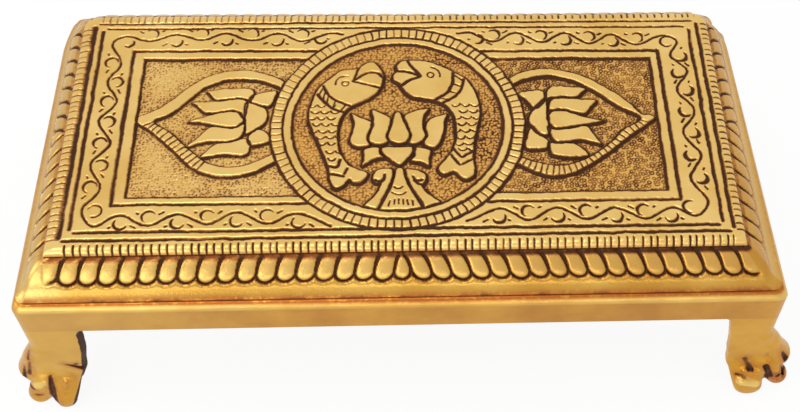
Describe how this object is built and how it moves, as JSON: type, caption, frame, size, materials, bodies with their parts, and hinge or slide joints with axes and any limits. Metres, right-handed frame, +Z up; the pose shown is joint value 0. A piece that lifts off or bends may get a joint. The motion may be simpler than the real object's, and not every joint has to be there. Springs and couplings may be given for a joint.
{
  "type": "bajot low table",
  "caption": "Low rectangular brass table with a chased twin-fish and lotus top, gadrooned rim, plain apron and paw feet.",
  "frame": {"origin": "on the floor, under the middle of the table", "axes": "+X along the length, -Y the front, +Z up"},
  "size_m": [0.2758, 0.137, 0.076],
  "materials": {
    "plaque_brass": "chased antique brass, polished flats, dark patina in the recesses",
    "moulding_brass": "polished cast brass with dark lines between the gadroons",
    "apron_brass": "buffed brass with a warm orange tone",
    "leg_brass": "buffed cast brass, darker between the toes",
    "screw_brass": "plain turned brass"
  },
  "bodies": {
    "root": {"top_plaque": "plaque_brass", "rim_moulding": "moulding_brass", "apron_frame": "apron_brass", "leg_front_left": "leg_brass", "leg_front_right": "leg_brass", "leg_back_left": "leg_brass", "leg_back_right": "leg_brass", "plaque_screws": "screw_brass", "frame_screws": "screw_brass", "leg_screws": "screw_brass"}
  },
  "joints": []
}
